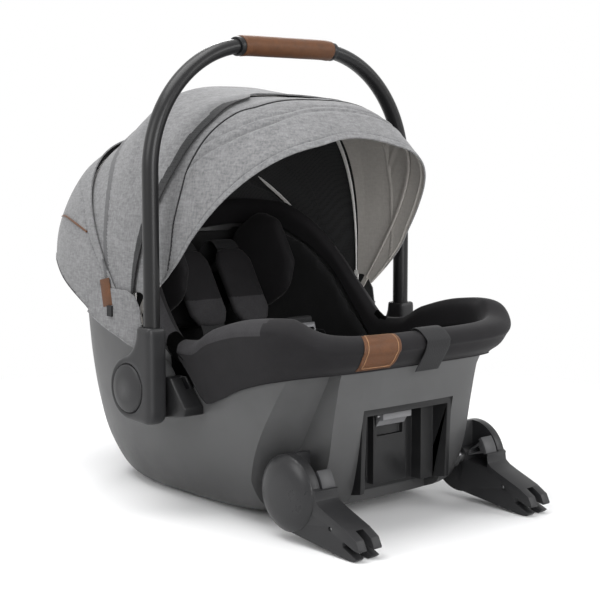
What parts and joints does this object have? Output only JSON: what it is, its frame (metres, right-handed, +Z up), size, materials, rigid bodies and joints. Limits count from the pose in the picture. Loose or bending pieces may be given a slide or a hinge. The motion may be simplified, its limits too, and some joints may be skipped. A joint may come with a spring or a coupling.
{
  "type": "infant car seat",
  "caption": "Moulded baby car seat with fold-back carry handle, folding canopy, harness and two swing-out anchor arms on stub axles.",
  "frame": {"origin": "on the floor, at the rest face under the base", "axes": "+Z up, head end towards +Y, foot end and anchor arms towards -Y, +X to the right seen from the foot end"},
  "size_m": [0.4452, 0.6707, 0.5675],
  "materials": {
    "shell_plastic": "satin moulded",
    "trim_plastic": "satin moulded",
    "black_plastic": "fine grain",
    "steel": "zinc plated",
    "lever_plastic": "satin moulded",
    "tube_paint": "satin powder coat",
    "tan_leather": "stitched, fine grain",
    "melange_fabric": "woven melange",
    "jersey": "smooth knitted jersey",
    "liner_fabric": "smooth knitted jersey",
    "webbing": "woven webbing",
    "red_plastic": "gloss"
  },
  "bodies": {
    "seat": {"outer_shell": "shell_plastic", "inner_bucket": "shell_plastic", "front_panel": "black_plastic", "lever_rivet": "steel", "axle_stub_left": "steel", "axle_stub_right": "steel", "belt_guide_left": "black_plastic", "belt_guide_right": "black_plastic", "handle_mount_left": "shell_plastic", "handle_mount_right": "shell_plastic", "canopy_clip_left": "black_plastic", "canopy_clip_right": "black_plastic", "canopy_rear_bow": "black_plastic", "canopy_rear_panel": "melange_fabric", "canopy_tag": "tan_leather", "canopy_hook": "black_plastic", "rim_cover": "jersey", "seat_liner": "liner_fabric", "seat_insert": "jersey", "shoulder_strap_left": "webbing", "shoulder_strap_right": "webbing", "lap_strap_left": "webbing", "lap_strap_right": "webbing", "crotch_strap": "webbing", "crotch_pad": "jersey", "buckle_body": "black_plastic", "tongue_left": "steel", "tongue_right": "steel", "adjuster_strap": "webbing", "adjuster_body": "black_plastic", "rim_label": "tan_leather"},
    "release_lever": {"release_lever": "trim_plastic"},
    "isofix_left": {"isofix_arm_left": "shell_plastic", "isofix_cover_left": "trim_plastic"},
    "isofix_right": {"isofix_arm_right": "shell_plastic", "isofix_cover_right": "trim_plastic"},
    "unlock_left": {"isofix_release_left": "lever_plastic"},
    "unlock_right": {"isofix_release_right": "lever_plastic"},
    "latch_left": {"isofix_latch_left": "steel"},
    "latch_right": {"isofix_latch_right": "steel"},
    "handle": {"handle_tube": "tube_paint", "handle_grip": "tan_leather", "grip_end_left": "black_plastic", "grip_end_right": "black_plastic", "handle_arm_left": "shell_plastic", "handle_arm_right": "shell_plastic"},
    "handle_button_left": {"handle_button_left": "trim_plastic"},
    "handle_button_right": {"handle_button_right": "trim_plastic"},
    "canopy_front": {"canopy_front_bow": "black_plastic", "canopy_visor": "melange_fabric"},
    "canopy_middle": {"canopy_middle_bow": "black_plastic", "canopy_middle_panel": "melange_fabric"},
    "head_rest": {"head_support": "jersey", "shoulder_pad_left": "jersey", "shoulder_pad_right": "jersey", "shoulder_loop_left": "webbing", "shoulder_loop_right": "webbing"},
    "buckle_button": {"buckle_button": "red_plastic"},
    "adjuster_button": {"adjuster_button": "trim_plastic"}
  },
  "joints": [
    {"name": "release_lever_pull", "type": "hinge", "parent": "seat", "child": "release_lever", "pos_m": [0, -0.2465, 0.125], "axis": [1, 0, 0], "range_deg": [-14, 0], "stiffness_Nm_per_rad": 0.08, "springref_deg": 2.86},
    {"name": "isofix_left_swing", "type": "hinge", "parent": "seat", "child": "isofix_left", "pos_m": [-0.14, -0.24, 0.055], "axis": [-1, 0, 0], "range_deg": [0, 88]},
    {"name": "unlock_left_press", "type": "hinge", "parent": "isofix_left", "child": "unlock_left", "pos_m": [-0.14, -0.24, 0.055], "axis": [-1, 0, 0], "range_deg": [0, 14], "stiffness_Nm_per_rad": 0.04, "springref_deg": -5.73},
    {"name": "latch_left_turn", "type": "hinge", "parent": "isofix_left", "child": "latch_left", "pos_m": [-0.14, -0.30936, 0.02913], "axis": [-1, 0, 0], "range_deg": [0, 20], "stiffness_Nm_per_rad": 0.04, "springref_deg": -5.73},
    {"name": "isofix_right_swing", "type": "hinge", "parent": "seat", "child": "isofix_right", "pos_m": [0.14, -0.24, 0.055], "axis": [-1, 0, 0], "range_deg": [0, 88]},
    {"name": "unlock_right_press", "type": "hinge", "parent": "isofix_right", "child": "unlock_right", "pos_m": [0.14, -0.24, 0.055], "axis": [-1, 0, 0], "range_deg": [0, 14], "stiffness_Nm_per_rad": 0.04, "springref_deg": -5.73},
    {"name": "latch_right_turn", "type": "hinge", "parent": "isofix_right", "child": "latch_right", "pos_m": [0.14, -0.30936, 0.02913], "axis": [-1, 0, 0], "range_deg": [0, 20], "stiffness_Nm_per_rad": 0.04, "springref_deg": -5.73},
    {"name": "handle_turn", "type": "hinge", "parent": "seat", "child": "handle", "pos_m": [0, -0.023, 0.1505], "axis": [-1, 0, 0], "range_deg": [0, 110]},
    {"name": "handle_button_left_push", "type": "slide", "parent": "handle", "child": "handle_button_left", "axis": [1, 0, 0], "range_m": [0, 0.005], "stiffness_N_per_m": 400, "springref_m": -0.001},
    {"name": "handle_button_right_push", "type": "slide", "parent": "handle", "child": "handle_button_right", "axis": [-1, 0, 0], "range_m": [0, 0.005], "stiffness_N_per_m": 400, "springref_m": -0.001},
    {"name": "canopy_fold", "type": "hinge", "parent": "seat", "child": "canopy_front", "pos_m": [0, 0.01, 0.225], "axis": [-1, 0, 0], "range_deg": [0, 70]},
    {"name": "canopy_follow", "type": "hinge", "parent": "seat", "child": "canopy_middle", "pos_m": [0, 0.01, 0.225], "axis": [-1, 0, 0], "range_deg": [0, 35]},
    {"name": "head_rest_raise", "type": "slide", "parent": "seat", "child": "head_rest", "axis": [0, 0.5299, 0.848], "range_m": [0, 0.03]},
    {"name": "buckle_button_push", "type": "slide", "parent": "seat", "child": "buckle_button", "axis": [0, 0.9397, -0.342], "range_m": [0, 0.005], "stiffness_N_per_m": 300, "springref_m": -0.001},
    {"name": "adjuster_button_push", "type": "slide", "parent": "seat", "child": "adjuster_button", "axis": [0, -0.6115, -0.7912], "range_m": [0, 0.0035], "stiffness_N_per_m": 300, "springref_m": -0.001}
  ],
  "couplings": [
    {"joint": "canopy_follow", "follows": "canopy_fold", "ratio": 0.5}
  ]
}
